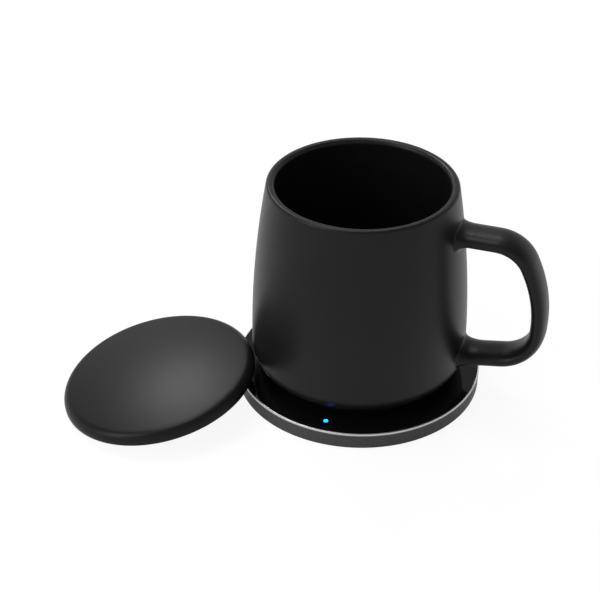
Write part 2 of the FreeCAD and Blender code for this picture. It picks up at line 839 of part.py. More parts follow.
def lid_shell():
    """A cap with a rounded edge, a low crown and a skirt round the mug's rim."""
    flat_r, side_z, outer = lid_edge()
    top_z = side_z + LID_EDGE_ROUND
    skirt_r = lid_skirt_radius()
    under_r = lid_liner_radius() - LINER_RIB
    seat_z = SKIRT_DEPTH + SEAL_T
    low = LID_BOTTOM_ROUND
    turn = LID_EDGE_ROUND * math.sqrt(0.5)
    bend = LID_BOTTOM_ROUND * math.sqrt(0.5)
    crown = [vec(x, 0, lid_dome_z(x)) for x in (0, flat_r / 2, flat_r)]
    inside = [vec(x, 0, lid_dome_z(x, LID_WALL)) for x in (under_r, under_r / 2, 0)]
    return turned([
        arc(*crown),
        arc(crown[-1], vec(flat_r + turn, 0, side_z + turn), vec(outer, 0, side_z)),
        line(vec(outer, 0, side_z), vec(outer, 0, low)),
        arc(vec(outer, 0, low), vec(outer - low + bend, 0, low - bend), vec(outer - low, 0, 0)),
        line(vec(outer - low, 0, 0), vec(skirt_r, 0, 0)),
        line(vec(skirt_r, 0, 0), vec(skirt_r, 0, seat_z)),
        line(vec(skirt_r, 0, seat_z), vec(under_r, 0, seat_z)),
        line(vec(under_r, 0, seat_z), inside[0]),
        arc(*inside),
        line(inside[-1], crown[0]),
    ])


def lid_seal():
    """A flat ring that lies on the rim, with a lip down into the mouth."""
    inner = lid_plug_radius() - SEAL_LIP_T
    top = SKIRT_DEPTH + SEAL_T
    flat = ring(lid_skirt_radius() - FIT_GAP, inner, SKIRT_DEPTH, top)
    lip = ring(lid_plug_radius(), inner, SKIRT_DEPTH - SEAL_LIP_H, SKIRT_DEPTH)
    return fuse([flat, lip])


def lid_liner():
    """The inner disc, with an upstand that is snapped under the shell."""
    outer = lid_liner_radius()
    plate = disc(outer, LINER_LOW, LINER_LOW + LINER_T)
    rib = ring(outer, outer - LINER_RIB, LINER_LOW + LINER_T, SKIRT_DEPTH + SEAL_T)
    return fuse([plate, rib])


def build():
    """Every piece of the object by name."""
    return {
        "foot_pad": foot_pad(),
        "base_plate": base_plate(),
        "side_ring": side_ring(),
        "trim_ring": trim_ring(),
        "top_panel": top_panel(),
        "panel_tape": panel_tape(),
        "case_screws": case_screws(),
        "coil_carrier": coil_carrier(),
        "charging_ferrite": disc(ferrite_r, ferrite_z, coil_z),
        "charging_coil": ring(coil_r, COIL_INNER_D / 2, coil_z, coil_z + COIL_T),
        "charging_coil_leads": coil_leads(coil_z + COIL_T / 2, board_inner_r + LEAD_INSET, board_top),
        "panel_sensor": panel_sensor(),
        "main_board": main_board(),
        "main_board_parts": main_board_parts(),
        "board_screws": board_screws(),
        "power_socket": power_socket(),
        "led_board": led_board(),
        "status_led": status_led(),
        "light_guide": light_guide(),
        "led_ribbon": led_ribbon(),
        "ribbon_connectors": ribbon_connectors(),
        "mug_shell": mug_shell(),
        "handle": handle(),
        "heat_spreader": heat_spreader(),
        "heater_film": heater_film(),
        "insulation": insulation(),
        "mug_sensor": mug_sensor(),
        "heater_leads": heater_leads(),
        "battery_cells": battery_cells(),
        "chassis": chassis(),
        "bond_ring": bond_ring(),
        "mug_board": mug_board(),
        "mug_board_parts": mug_board_parts(),
        "mug_board_screws": mug_board_screws(),
        "receiver_ferrite": disc(ferrite_r, mug_ferrite_z, mug_ferrite_z + FERRITE_T),
        "receiver_coil": ring(coil_r, COIL_INNER_D / 2, cover_top, mug_ferrite_z),
        "receiver_leads": coil_leads(cover_top + COIL_T / 2, ferrite_r + LEAD_D, mug_board_z),
        "base_gasket": base_gasket(),
        "base_cover": base_cover(),
        "cover_screws": cover_screws(),
        "foot_ring": foot_ring(),
        "lid_shell": lean(lid_shell()),
        "lid_seal": lean(lid_seal()),
        "lid_liner": lean(lid_liner()),
    }


os.makedirs("parts", exist_ok=True)
for name, shape in build().items():
    shape.exportStep("parts/" + name + ".step")
    print(name, len(shape.Solids), "solids,", round(shape.Volume), "mm3, valid", shape.isValid())
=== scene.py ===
"""Looks of a self-heating mug, its charging coaster and its lid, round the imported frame.

Metres and radians, in the frame's own axes: +Z up, the handle along +X, the
status light towards -Y. The script makes the visible shells as smooth meshes,
gives every piece its finish, and sets the light, the floor and the camera.
"""

import json
import math

import bmesh
import bpy
from mathutils import Matrix, Vector

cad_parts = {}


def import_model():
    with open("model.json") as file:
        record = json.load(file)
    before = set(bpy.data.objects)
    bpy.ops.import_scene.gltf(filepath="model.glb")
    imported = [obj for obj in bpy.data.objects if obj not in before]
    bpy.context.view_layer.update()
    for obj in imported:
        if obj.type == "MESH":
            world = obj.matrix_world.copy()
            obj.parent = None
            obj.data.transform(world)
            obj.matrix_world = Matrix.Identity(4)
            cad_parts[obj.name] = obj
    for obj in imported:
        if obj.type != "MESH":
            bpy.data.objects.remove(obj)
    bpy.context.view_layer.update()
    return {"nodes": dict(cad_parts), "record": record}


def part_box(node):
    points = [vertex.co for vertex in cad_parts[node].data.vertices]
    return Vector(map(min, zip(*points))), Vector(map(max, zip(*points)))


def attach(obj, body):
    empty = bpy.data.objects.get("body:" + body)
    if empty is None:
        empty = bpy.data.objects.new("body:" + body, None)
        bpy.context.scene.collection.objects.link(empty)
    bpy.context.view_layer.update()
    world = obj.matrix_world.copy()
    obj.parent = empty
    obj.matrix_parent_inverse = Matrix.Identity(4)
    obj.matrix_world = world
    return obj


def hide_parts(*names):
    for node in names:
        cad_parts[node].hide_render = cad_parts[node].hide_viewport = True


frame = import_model()

MM = 0.001

# Camera, measured round the mug's axis
CAMERA_AWAY = 538.8 * MM
CAMERA_UP = 404.9 * MM
CAMERA_ROUND = math.radians(15.8)
CAMERA_PAN = math.radians(2.874)
CAMERA_DOWN = math.radians(34.113)
CAMERA_LENS = 86.15
SENSOR_W = 36.0

# Mug body, as in the frame
WALL_ARC = 457 * MM
BASE_ROUND = 10 * MM
MUG_WALL = 4 * MM
LIP_OUTER_ROUND = 1.5 * MM
LIP_INNER_ROUND = 2 * MM
FLOOR_ROUND = 8 * MM
FLOOR_T = 4 * MM
MUG_UNDER_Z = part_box("mug_shell")[0].z
MUG_RIM_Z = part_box("mug_shell")[1].z
BELLY_R = 48.9 * MM
BELLY_Z = MUG_UNDER_Z + BASE_ROUND
CEILING_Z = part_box("heat_spreader")[1].z
OPENING_R = 38.5 * MM
FLOOR_Z = CEILING_Z + FLOOR_T
SEAT_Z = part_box("top_panel")[1].z

# Handle, its centreline measured from the belly and the mug's foot
HANDLE_TOP = 76.3 * MM
HANDLE_SHOULDER_OUT = 21.4 * MM
HANDLE_REACH_OUT = 33.4 * MM
HANDLE_REACH = 52.0 * MM
HANDLE_HEEL_OUT = 31.8 * MM
HANDLE_HEEL = 20.4 * MM
HANDLE_FOOT = 15.0 * MM
HANDLE_SHOULDER_ROUND = 15.9 * MM
HANDLE_BACK_ROUND = 64.5 * MM
HANDLE_HEEL_ROUND = 17.8 * MM
HANDLE_HALF_THICK = 3.5 * MM
HANDLE_HALF_WIDE = 8.3 * MM
HANDLE_SQUARENESS = 2.35
HANDLE_FLARE = 2.6 * MM
HANDLE_FLARE_SHIFT = 0.9 * MM
HANDLE_TOP_RUN = 5.5 * MM
HANDLE_FOOT_RUN = 9.0 * MM
HANDLE_SINK = 0.6 * MM

# Lid, on its own axis before it leans
SKIRT_DEPTH = 2.6 * MM
SKIRT_WALL = 1.95 * MM
LID_RIM_GAP = 0.3 * MM
LID_EDGE_ROUND = 4.8 * MM
LID_EDGE_RUN = 3.5 * MM
LID_SIDE_Z = 1.1 * MM
LID_BOTTOM_ROUND = 0.9 * MM
LID_CROWN = 2.4 * MM
LID_WALL = 2.0 * MM
LID_SEAT_Z = 4.0 * MM
LID_PLUG_INSET = 3.9 * MM
LID_TILT = math.radians(10.9)
LID_TURN = math.radians(-5.5)
LID_BEARING = math.radians(210.0)
LEAN_GAP = 0.5 * MM

# Steps of the meshes
AROUND = 256
LIP_STEPS = 10
BASE_STEPS = 16
HOLLOW_STEPS = 6
FLOOR_ROUND_STEPS = 12
INNER_WALL_STEPS = 24
OUTER_WALL_STEPS = 40
CROWN_STEPS = 24
LID_EDGE_STEPS = 16
LID_FOOT_STEPS = 6
LID_INSIDE_STEPS = 8
HANDLE_AROUND = 72
HANDLE_FLARE_STEPS = 18
HANDLE_JOIN_STEPS = 6
BEND_STEPS_LEAST = 8
BEND_STEP_DEGREES = 2.5
WALL_SEARCH = 12 * MM
WALL_HALVINGS = 40
CRISP_DEGREES = 35
HANDLE_CRISP_DEGREES = 50

# Finishes
MUG_COLOR = (0.0072, 0.0072, 0.0074)
MUG_ROUGH = 0.37
MUG_SPECULAR = 0.165
LID_ROUGH = 0.37
LID_SPECULAR = 0.14
SIDE_COLOR = (0.051, 0.051, 0.052)
SIDE_FLUTES = 160
SIDE_FLUTE_STRETCH = 30
TRIM_COLOR = (0.57, 0.58, 0.59)
TRIM_ROUGH = 0.42
# Below TRIM_FOOT_Z the trim ring is painted dark grey: painted shade under its bright edge's
# highlight
TRIM_FOOT_SHADE_COLOR = (0.1, 0.1, 0.1)
TRIM_FOOT_ROUGH = 0.5
TRIM_FOOT_Z = 6.95 * MM
TRIM_FOOT_BLEND = 0.1 * MM
TRIM_LINES = 4000
PANEL_COLOR = (0.0022, 0.0022, 0.0024)
LIGHT_R = 1.2 * MM
LIGHT_STRENGTH = 8.0
WIRE_PITCH = 0.5 * MM
TRACK_SCALE = 110

# Floor: half its side, its grey as it lights things, and as it shows
FLOOR_HALF = 4.0
FLOOR_PLAIN = 0.8
FLOOR_WHITE = 1.02
FLOOR_SHADOW = 0.11
FLOOR_NEAR = 0.18
FLOOR_FAR = 0.6

# Room: its level as it lights things, and as it shows from low to overhead
ROOM_PLAIN = 0.2
ROOM_LOW = 1.0
ROOM_OVERHEAD = 0.3
ROOM_LOW_Z = 0.15
ROOM_OVERHEAD_Z = 0.6

# Lamps: direction from the object, distance, size and power in watts
LAMP_AIM = Vector((0, 0, 50 * MM))
LAMPS = {
    "key": {"towards": (-0.532, 0.528, 0.661), "away": 1.3, "size": (0.18, 0.18), "power": 4.45},
    "back": {"towards": (-0.096, 0.608, 0.788), "away": 1.3, "size": (0.3, 0.25), "power": 2.0},
    "top": {"towards": (-0.26, 0.075, 0.963), "away": 1.4, "size": (0.45, 0.45), "power": 6.5},
    "left": {"towards": (-0.6, -0.6, 0.53), "away": 1.3, "size": (0.5, 0.9), "power": 7.0},
    "fill": {"towards": (0.35, -0.9, 0.55), "away": 2.0, "size": (2.0, 1.4), "power": 7.0,
             "seen": False},
}


# Outlines

def wall_r(z, inset=0.0):
    """Radius of the mug's outer wall at a height, or of a surface inset from it."""
    return BELLY_R - WALL_ARC + math.sqrt((WALL_ARC - inset) ** 2 - (z - BELLY_Z) ** 2)


def wall_angle(z, inset):
    """Direction from the centre of the wall's arc to a surface's point at a height."""
    return math.atan2(z - BELLY_Z, wall_r(z, inset) - BELLY_R + WALL_ARC)


def lid_radii():
    """The lid's outer radius, the inside of its skirt, and the edge of its hollow."""
    skirt = wall_r(MUG_RIM_Z - SKIRT_DEPTH) + LID_RIM_GAP
    return skirt + SKIRT_WALL, skirt, wall_r(MUG_RIM_Z, MUG_WALL) - LID_PLUG_INSET


def outer_r(z):
    """Radius of the mug's outside at a height, with the round under the belly."""
    if z >= BELLY_Z:
        return wall_r(z)
    return BELLY_R - BASE_ROUND + math.sqrt(BASE_ROUND ** 2 - (BELLY_Z - z) ** 2)


def arc(centre, radius, start, end, steps):
    """Points of an arc, given as (radius, height) and angles in degrees."""
    turns = [math.radians(start + (end - start) * i / steps) for i in range(steps + 1)]
    return [(centre[0] + radius * math.cos(t), centre[1] + radius * math.sin(t)) for t in turns]


def wall(low, high, inset, steps):
    """Points up or down the mug's wall, from one height to another."""
    heights = [low + (high - low) * i / steps for i in range(steps + 1)]
    return [(wall_r(z, inset), z) for z in heights]


def mug_outline():
    """Closed outline of the mug body, from the middle of the drink's floor round to it."""
    round_z = FLOOR_Z + FLOOR_ROUND
    round_inset = MUG_WALL + FLOOR_ROUND
    floor_turn = math.degrees(wall_angle(round_z, round_inset))
    floor_arc = arc((wall_r(round_z, round_inset), round_z), FLOOR_ROUND,
                    -90, floor_turn, FLOOR_ROUND_STEPS)
    inner_z = MUG_RIM_Z - LIP_INNER_ROUND
    inner_inset = MUG_WALL - LIP_INNER_ROUND
    inner_turn = math.degrees(wall_angle(inner_z, inner_inset))
    inner_lip = arc((wall_r(inner_z, inner_inset), inner_z), LIP_INNER_ROUND,
                    180 + inner_turn, 90, LIP_STEPS)
    outer_z = MUG_RIM_Z - LIP_OUTER_ROUND
    outer_turn = math.degrees(wall_angle(outer_z, LIP_OUTER_ROUND))
    outer_lip = arc((wall_r(outer_z, LIP_OUTER_ROUND), outer_z), LIP_OUTER_ROUND,
                    90, outer_turn, LIP_STEPS)
    centre = (BELLY_R - BASE_ROUND, BELLY_Z)
    base = arc(centre, BASE_ROUND, 0, -90, BASE_STEPS)
    hollow = arc(centre, BASE_ROUND - MUG_WALL, -90, 0, HOLLOW_STEPS)
    inner_wall = wall(floor_arc[-1][1], inner_lip[0][1], MUG_WALL, INNER_WALL_STEPS)[1:-1]
    outer_wall = wall(outer_lip[-1][1], BELLY_Z, 0, OUTER_WALL_STEPS)[1:-1]
    return ([(0, FLOOR_Z)] + floor_arc + inner_wall + inner_lip + outer_lip + outer_wall + base
            + [(OPENING_R, MUG_UNDER_Z), (OPENING_R, MUG_UNDER_Z + MUG_WALL)] + hollow
            + [(wall_r(CEILING_Z, MUG_WALL), CEILING_Z), (0, CEILING_Z)])


def lid_outline():
    """Closed outline of the lid's shell, from the top of its crown round to it."""
    outer, skirt, under = lid_radii()
    flat_r = outer - LID_EDGE_ROUND
    sphere_r = (flat_r ** 2 + LID_CROWN ** 2) / (2 * LID_CROWN)
    centre_z = LID_SIDE_Z + LID_EDGE_ROUND + LID_CROWN - sphere_r
    brink = outer - LID_EDGE_RUN
    rise = math.sqrt(sphere_r ** 2 - brink ** 2)
    height = centre_z + rise - LID_SIDE_Z
    radii = [brink * i / CROWN_STEPS for i in range(CROWN_STEPS + 1)]
    crown = [(r, centre_z + math.sqrt(sphere_r ** 2 - r ** 2)) for r in radii]
    share = brink / rise * LID_EDGE_RUN / height
    start = math.asin(share / (1 - share))
    across = LID_EDGE_RUN / (1 - math.sin(start))
    turns = [start + (math.pi / 2 - start) * i / LID_EDGE_STEPS
             for i in range(1, LID_EDGE_STEPS + 1)]
    edge = [(outer - across + across * math.sin(turn),
             LID_SIDE_Z + height / math.cos(start) * math.cos(turn)) for turn in turns]
    foot = arc((outer - LID_BOTTOM_ROUND, LID_BOTTOM_ROUND), LID_BOTTOM_ROUND,
               0, -90, LID_FOOT_STEPS)
    inner_r = sphere_r - LID_WALL
    radii = [under * i / LID_INSIDE_STEPS for i in range(LID_INSIDE_STEPS, -1, -1)]
    inside = [(r, centre_z + math.sqrt(inner_r ** 2 - r ** 2)) for r in radii]
    return crown + edge + foot + [(skirt, 0), (skirt, LID_SEAT_Z), (under, LID_SEAT_Z)] + inside


# Meshes

def piece(name, verts, faces, sharp=CRISP_DEGREES):
    """A smooth mesh object whose edges over the sharp angle, in degrees, stay crisp."""
    mesh = bpy.data.meshes.new(name)
    mesh.from_pydata(verts, [], faces)
    work = bmesh.new()
    work.from_mesh(mesh)
    bmesh.ops.recalc_face_normals(work, faces=work.faces)
    for face in work.faces:
        face.smooth = True
    work.to_mesh(mesh)
    work.free()
    mesh.set_sharp_from_angle(angle=math.radians(sharp))
    made = bpy.data.objects.new(name, mesh)
    bpy.context.scene.collection.objects.link(made)
    return made


def lathe(name, outline, around=AROUND):
    """A closed solid of revolution about Z; outline points at radius zero are poles."""
    verts = []
    rows = []
    for radius, z in outline:
        first = len(verts)
        if radius == 0:
            verts.append((0, 0, z))
            rows.append([first])
            continue
        for i in range(around):
            turn = math.tau * i / around
            verts.append((radius * math.cos(turn), radius * math.sin(turn), z))
        rows.append(list(range(first, first + around)))
    faces = []
    for row, below in zip(rows, rows[1:]):
        for i in range(around):
            j = (i + 1) % around
            loop = [row[i % len(row)], row[j % len(row)],
                    below[j % len(below)], below[i % len(below)]]
            faces.append(tuple(dict.fromkeys(loop)))
    return piece(name, verts, faces)


def handle_path():
    """Centreline points and directions of the handle in the XZ plane, top to foot."""
    top = SEAT_Z + HANDLE_TOP
    foot = SEAT_Z + HANDLE_FOOT
    corners = [(outer_r(top), top, 0),
               (BELLY_R + HANDLE_SHOULDER_OUT, top, HANDLE_SHOULDER_ROUND),
               (BELLY_R + HANDLE_REACH_OUT, SEAT_Z + HANDLE_REACH, HANDLE_BACK_ROUND),
               (BELLY_R + HANDLE_HEEL_OUT, SEAT_Z + HANDLE_HEEL, HANDLE_HEEL_ROUND),
               (outer_r(foot), foot, 0)]
    points = [Vector((x, 0, z)) for x, z, _ in corners]
    samples = []
    for i in range(1, len(corners) - 1):
        point = points[i]
        back = (points[i - 1] - point).normalized()
        ahead = (points[i + 1] - point).normalized()
        half = back.angle(ahead) / 2
        radius = corners[i][2]
        centre = point + (back + ahead).normalized() * (radius / math.sin(half))
        start = point + back * (radius / math.tan(half)) - centre
        sweep = math.pi - 2 * half
        steps = max(BEND_STEPS_LEAST, int(math.degrees(sweep) / BEND_STEP_DEGREES))
        for k in range(steps + 1):
            turn = Matrix.Rotation(sweep * k / steps, 3, Vector((0, 1, 0)))
            direction = turn @ -back
            samples.append((centre + turn @ start, direction))
    return points[0], points[-1], samples


def oval(count):
    """Points round the handle's section, each with its outward direction."""
    power = 2 / HANDLE_SQUARENESS
    slope = HANDLE_SQUARENESS - 1
    ring = []
    for i in range(count):
        turn = math.tau * (i + 0.5) / count
        c, s = math.cos(turn), math.sin(turn)
        across = math.copysign(abs(c) ** power, c) * HANDLE_HALF_WIDE
        thick = math.copysign(abs(s) ** power, s) * HANDLE_HALF_THICK
        out_across = math.copysign(abs(across / HANDLE_HALF_WIDE) ** slope, c)
        out_thick = math.copysign(abs(thick / HANDLE_HALF_THICK) ** slope, s)
        out = Vector((out_across / HANDLE_HALF_WIDE, out_thick / HANDLE_HALF_THICK))
        ring.append((Vector((across, thick)), out.normalized()))
    return ring


def onto_wall(start, direction):
    """Distance along a line, from a point near the mug's wall, to that wall."""
    low, high = -WALL_SEARCH, WALL_SEARCH
    for _ in range(WALL_HALVINGS):
        middle = (low + high) / 2
        p = start + direction * middle
        inside = math.hypot(p.x, p.y) < outer_r(p.z)
        low, high = (middle, high) if inside else (low, middle)
    return low


def between(start, end, steps):
    """Rows evenly between two rows, without the first and with the last."""
    return [[a.lerp(b, k / steps) for a, b in zip(start, end)] for k in range(1, steps + 1)]


def handle_mesh(count=HANDLE_AROUND):
    """The handle's bar, with a flare at each end that lies down on the mug's wall."""
    top, foot, samples = handle_path()
    ring = oval(count)
    side = Vector((0, 1, 0))

    def section(centre, direction, swell=0.0):
        """The bar's section about a point, widened all round by swell."""
        up = direction.cross(side)
        return [centre + side * (p.x + out.x * swell) + up * (p.y + out.y * swell)
                for p, out in ring]

    def flare(root, outwards, direction, run, shift):
        """Rings from inside the wall out to the plain bar, the widest moved by shift in Z."""
        rings = []
        for k in range(HANDLE_FLARE_STEPS, -1, -1):
            turn = math.pi / 2 * k / HANDLE_FLARE_STEPS
            share = 1 - math.cos(turn)
            lift = run * (1 - math.sin(turn))
            moved = root + Vector((0, 0, shift * share))
            rings.append([p + outwards * (onto_wall(p, outwards) + lift)
                          for p in section(moved, direction, HANDLE_FLARE * share)])
        sunk = [p - outwards * HANDLE_SINK for p in rings[0]]
        return [sunk] + rings

    first = samples[0]
    last = samples[-1]
    rows = flare(top, first[1], first[1], HANDLE_TOP_RUN, -HANDLE_FLARE_SHIFT)
    rows += between(rows[-1], section(*first), HANDLE_JOIN_STEPS)
    rows += [section(*sample) for sample in samples[1:]]
    tail = flare(foot, -last[1], last[1], HANDLE_FOOT_RUN, HANDLE_FLARE_SHIFT)[::-1]
    rows += between(rows[-1], tail[0], HANDLE_JOIN_STEPS)
    rows += tail[1:]
    verts = [tuple(p) for row in rows for p in row]
    faces = []
    for r in range(len(rows) - 1):
        for i in range(count):
            j = (i + 1) % count
            faces.append((r * count + i, r * count + j,
                          (r + 1) * count + j, (r + 1) * count + i))
    faces.append(tuple(range(count)))
    faces.append(tuple((len(rows) - 1) * count + i for i in range(count)))
    return piece("mug_handle", verts, faces, sharp=HANDLE_CRISP_DEGREES)


def lean(made):
    """Tilts a lid piece towards the mug, with its low edge on the table."""
    outer = lid_radii()[0]
    side_r = outer - LID_EDGE_ROUND
    low_r = outer - LID_BOTTOM_ROUND
    height = low_r * math.sin(LID_TILT) + LID_BOTTOM_ROUND * (1 - math.cos(LID_TILT))
    reach = side_r * math.cos(LID_TILT) - LID_SIDE_Z * math.sin(LID_TILT)
    rise = height + side_r * math.sin(LID_TILT) + LID_SIDE_Z * math.cos(LID_TILT)
    apart = BASE_ROUND + LID_EDGE_ROUND + LEAN_GAP
    away = BELLY_R - BASE_ROUND + reach + math.sqrt(apart ** 2 - (BELLY_Z - rise) ** 2)
    tilted = Matrix.Rotation(LID_TURN, 4, "Z") @ Matrix.Rotation(LID_TILT, 4, "Y")
    place = (Matrix.Rotation(LID_BEARING, 4, "Z") @ Matrix.Translation((away, 0, height))
             @ tilted)
    made.data.transform(place)
    return made


# Finishes

def node(tree, kind, **inputs):
    """A shader node; an input given a socket is linked, any other is set."""
    made = tree.nodes.new("ShaderNode" + kind)
    for key, value in inputs.items():
        slot = made.inputs[key.replace("_", " ")]
        if isinstance(value, bpy.types.NodeSocket):
            tree.links.new(value, slot)
        else:
            slot.default_value = value
    return made


def finish(name, color, rough, metal=0.0, specular=0.5):
    """A new material with the plain values of its shader set."""
    made = bpy.data.materials.new(name)
    made.use_nodes = True
    shader = made.node_tree.nodes["Principled BSDF"]
    shader.inputs["Base Color"].default_value = (*color, 1)
    shader.inputs["Roughness"].default_value = rough
    shader.inputs["Metallic"].default_value = metal
    shader.inputs["Specular IOR Level"].default_value = specular
    return made, made.node_tree, shader


def here(tree, stretch=(1, 1, 1)):
    """The point on the object in metres, stretched along each axis."""
    coords = node(tree, "TexCoord")
    return node(tree, "Mapping", Vector=coords.outputs["Object"], Scale=stretch).outputs["Vector"]


def axis_radius(tree):
    """The point's distance from the Z axis."""
    return distance(tree, here(tree, (1, 1, 0)))


def round_axis(tree, around, along):
    """The point as its radius, its turn about Z times around, and its height times along."""
    x, y, z = node(tree, "SeparateXYZ", Vector=here(tree)).outputs
    turn = maths(tree, "MULTIPLY", maths(tree, "ARCTAN2", y, x), around)
    return axis_radius(tree), turn, maths(tree, "MULTIPLY", z, along)


def distance(tree, where, place=(0, 0, 0)):
    """The distance from a place."""
    made = tree.nodes.new("ShaderNodeVectorMath")
    made.operation = "DISTANCE"
    tree.links.new(where, made.inputs[0])
    made.inputs[1].default_value = place
    return made.outputs["Value"]


def maths(tree, operation, a, b=0.0):
    """The result of a Math node; each value is a socket or a number."""
    made = tree.nodes.new("ShaderNodeMath")
    made.operation = operation
    for slot, value in zip(made.inputs, (a, b)):
        if isinstance(value, bpy.types.NodeSocket):
            tree.links.new(value, slot)
        else:
            slot.default_value = value
    return made.outputs[0]


def vector(tree, x, y, z):
    """A vector from the sockets of its three parts."""
    return node(tree, "CombineXYZ", X=x, Y=y, Z=z).outputs["Vector"]


def noise(tree, where, size, detail=3.0):
    """Noise with features about size across."""
    return node(tree, "TexNoise", Vector=where, Scale=1 / size, Detail=detail).outputs["Fac"]


def cells(tree, where, size, feature="F1"):
    """Distance within cells about size across, to their middles or edges."""
    made = tree.nodes.new("ShaderNodeTexVoronoi")
    made.feature = feature
    made.inputs["Scale"].default_value = 1 / size
    tree.links.new(where, made.inputs["Vector"])
    return made.outputs["Distance"]


def spread(tree, value, low, high, start=0.35, end=0.65):
    """A value mapped from start..end to low..high."""
    return node(tree, "MapRange", Value=value, From_Min=start, From_Max=end,
                To_Min=low, To_Max=high).outputs["Result"]


def colours(tree, value, *stops):
    """A colour ramp through (place, colour) stops."""
    made = node(tree, "ValToRGB", Fac=value)
    elements = made.color_ramp.elements
    while len(elements) < len(stops):
        elements.new(0.5)
    for element, (place, color) in zip(elements, stops):
        element.position = place
        element.color = (*color, 1)
    return made.outputs["Color"]


def shade(color, share):
    """A colour made darker or lighter."""
    return tuple(min(1.0, c * share) for c in color)


def relief(tree, shader, height, depth, over=None):
    """Relief of a height map, depth deep from 0 to 1, laid over another."""
    made = node(tree, "Bump", Height=height, Distance=depth, Strength=1.0)
    if over is not None:
        tree.links.new(over, made.inputs["Normal"])
    tree.links.new(made.outputs["Normal"], shader.inputs["Normal"])
    return made.outputs["Normal"]


def mottle(tree, shader, color, rough, where, cloud=14 * MM, share=0.06, drift=0.02):
    """Slight clouds in a surface's colour and in its gloss."""
    clouds = noise(tree, where, cloud, 4)
    tree.links.new(colours(tree, clouds, (0.3, shade(color, 1 - share)),
                           (0.7, shade(color, 1 + share))), shader.inputs["Base Color"])
    patches = noise(tree, where, cloud / 3)
    tree.links.new(spread(tree, patches, rough - drift, rough + drift),
                   shader.inputs["Roughness"])


def coated(name, color, rough, specular, grain=0.3 * MM, depth=0.004 * MM):
    """A sprayed matte coat: faint clouds, a soft orange peel and a finer grain."""
    made, tree, shader = finish(name, color, rough, specular=specular)
    where = here(tree)
    mottle(tree, shader, color, rough, where, drift=0.006)
    peel = relief(tree, shader, noise(tree, where, 2.4 * MM, 2), 2 * depth)
    relief(tree, shader, noise(tree, where, grain, 2), depth, peel)
    return made


def moulded(name, color, rough, grain=0.5 * MM, depth=0.02 * MM, specular=0.5):
    """Moulded plastic or rubber with an etched grain."""
    made, tree, shader = finish(name, color, rough, specular=specular)
    where = here(tree)
    mottle(tree, shader, color, rough, where, cloud=9 * MM, share=0.1, drift=0.05)
    etched = relief(tree, shader, cells(tree, where, grain), depth)
    relief(tree, shader, noise(tree, where, grain / 3), depth / 3, etched)
    return made


def mug_black():
    """The mug's matte coat."""
    return coated("mug_black", MUG_COLOR, MUG_ROUGH, MUG_SPECULAR)


def lid_black():
    """The lid's matte coat, a little duller than the mug's."""
    return coated("lid_black", MUG_COLOR, LID_ROUGH, LID_SPECULAR)


def liner_black():
    """The liner under the lid, turned smooth with faint rings."""
    color = (0.02, 0.02, 0.021)
    made, tree, shader = finish("liner_black", color, 0.38)
    where = here(tree)
    mottle(tree, shader, color, 0.38, where, drift=0.04)
    relief(tree, shader, noise(tree, where, 0.6 * MM), 0.01 * MM)
    return made


def side_grey():
    """The coaster's side: dark grey with fine upright flutes."""
    color = SIDE_COLOR
    made, tree, shader = finish("side_grey", color, 0.5, specular=0.2)
    radius, turn, height = round_axis(tree, SIDE_FLUTES, SIDE_FLUTE_STRETCH)
    lines = noise(tree, vector(tree, turn, radius, height), 1.0, 3)
    tree.links.new(colours(tree, lines, (0.3, shade(color, 0.8)), (0.7, shade(color, 1.2))),
                   shader.inputs["Base Color"])
    tree.links.new(spread(tree, noise(tree, here(tree), 6 * MM), 0.46, 0.56),
                   shader.inputs["Roughness"])
    relief(tree, shader, lines, 0.03 * MM)
    return made


def trim_bright():
    """The ring round the glass: a polished edge over a foot painted dull dark grey as painted
    shade below the edge's highlight, drawn along.
    """
    made, tree, shader = finish("trim_bright", TRIM_COLOR, TRIM_ROUGH, metal=1.0)
    radius, turn, height = round_axis(tree, 3, TRIM_LINES)
    across = maths(tree, "MULTIPLY", radius, TRIM_LINES)
    drawn = noise(tree, vector(tree, turn, across, height), 1.0, 2)
    rise = node(tree, "SeparateXYZ", Vector=here(tree)).outputs["Z"]
    polished_lit_edge = spread(tree, rise, 0, 1, TRIM_FOOT_Z, TRIM_FOOT_Z + TRIM_FOOT_BLEND)
    level = maths(tree, "MULTIPLY", polished_lit_edge, spread(tree, drawn, 0.9, 1.0))
    # The colour runs from the painted-shade grey of the foot up to the bright metal of the edge
    tree.links.new(colours(tree, level, (0.0, TRIM_FOOT_SHADE_COLOR), (1.0, TRIM_COLOR)),
                   shader.inputs["Base Color"])
    tree.links.new(spread(tree, polished_lit_edge, TRIM_FOOT_ROUGH, TRIM_ROUGH, 0, 1),
                   shader.inputs["Roughness"])
    relief(tree, shader, drawn, 0.001 * MM)
    return made


def panel_black():
    """Back-printed black glass, with a trace of dust and wiping in its gloss."""
    made, tree, shader = finish("panel_black", PANEL_COLOR, 0.035)
    where = here(tree)
    dust = noise(tree, where, 0.35 * MM, 5)
    wiped = noise(tree, here(tree, (1, 0.3, 1)), 12 * MM, 5)
    tree.links.new(spread(tree, wiped, 0.025, 0.06), shader.inputs["Roughness"])
    tree.links.new(colours(tree, dust, (0.45, PANEL_COLOR), (0.85, (0.012, 0.012, 0.012))),
                   shader.inputs["Base Color"])
    relief(tree, shader, noise(tree, where, 30 * MM, 1), 0.004 * MM)
    return made


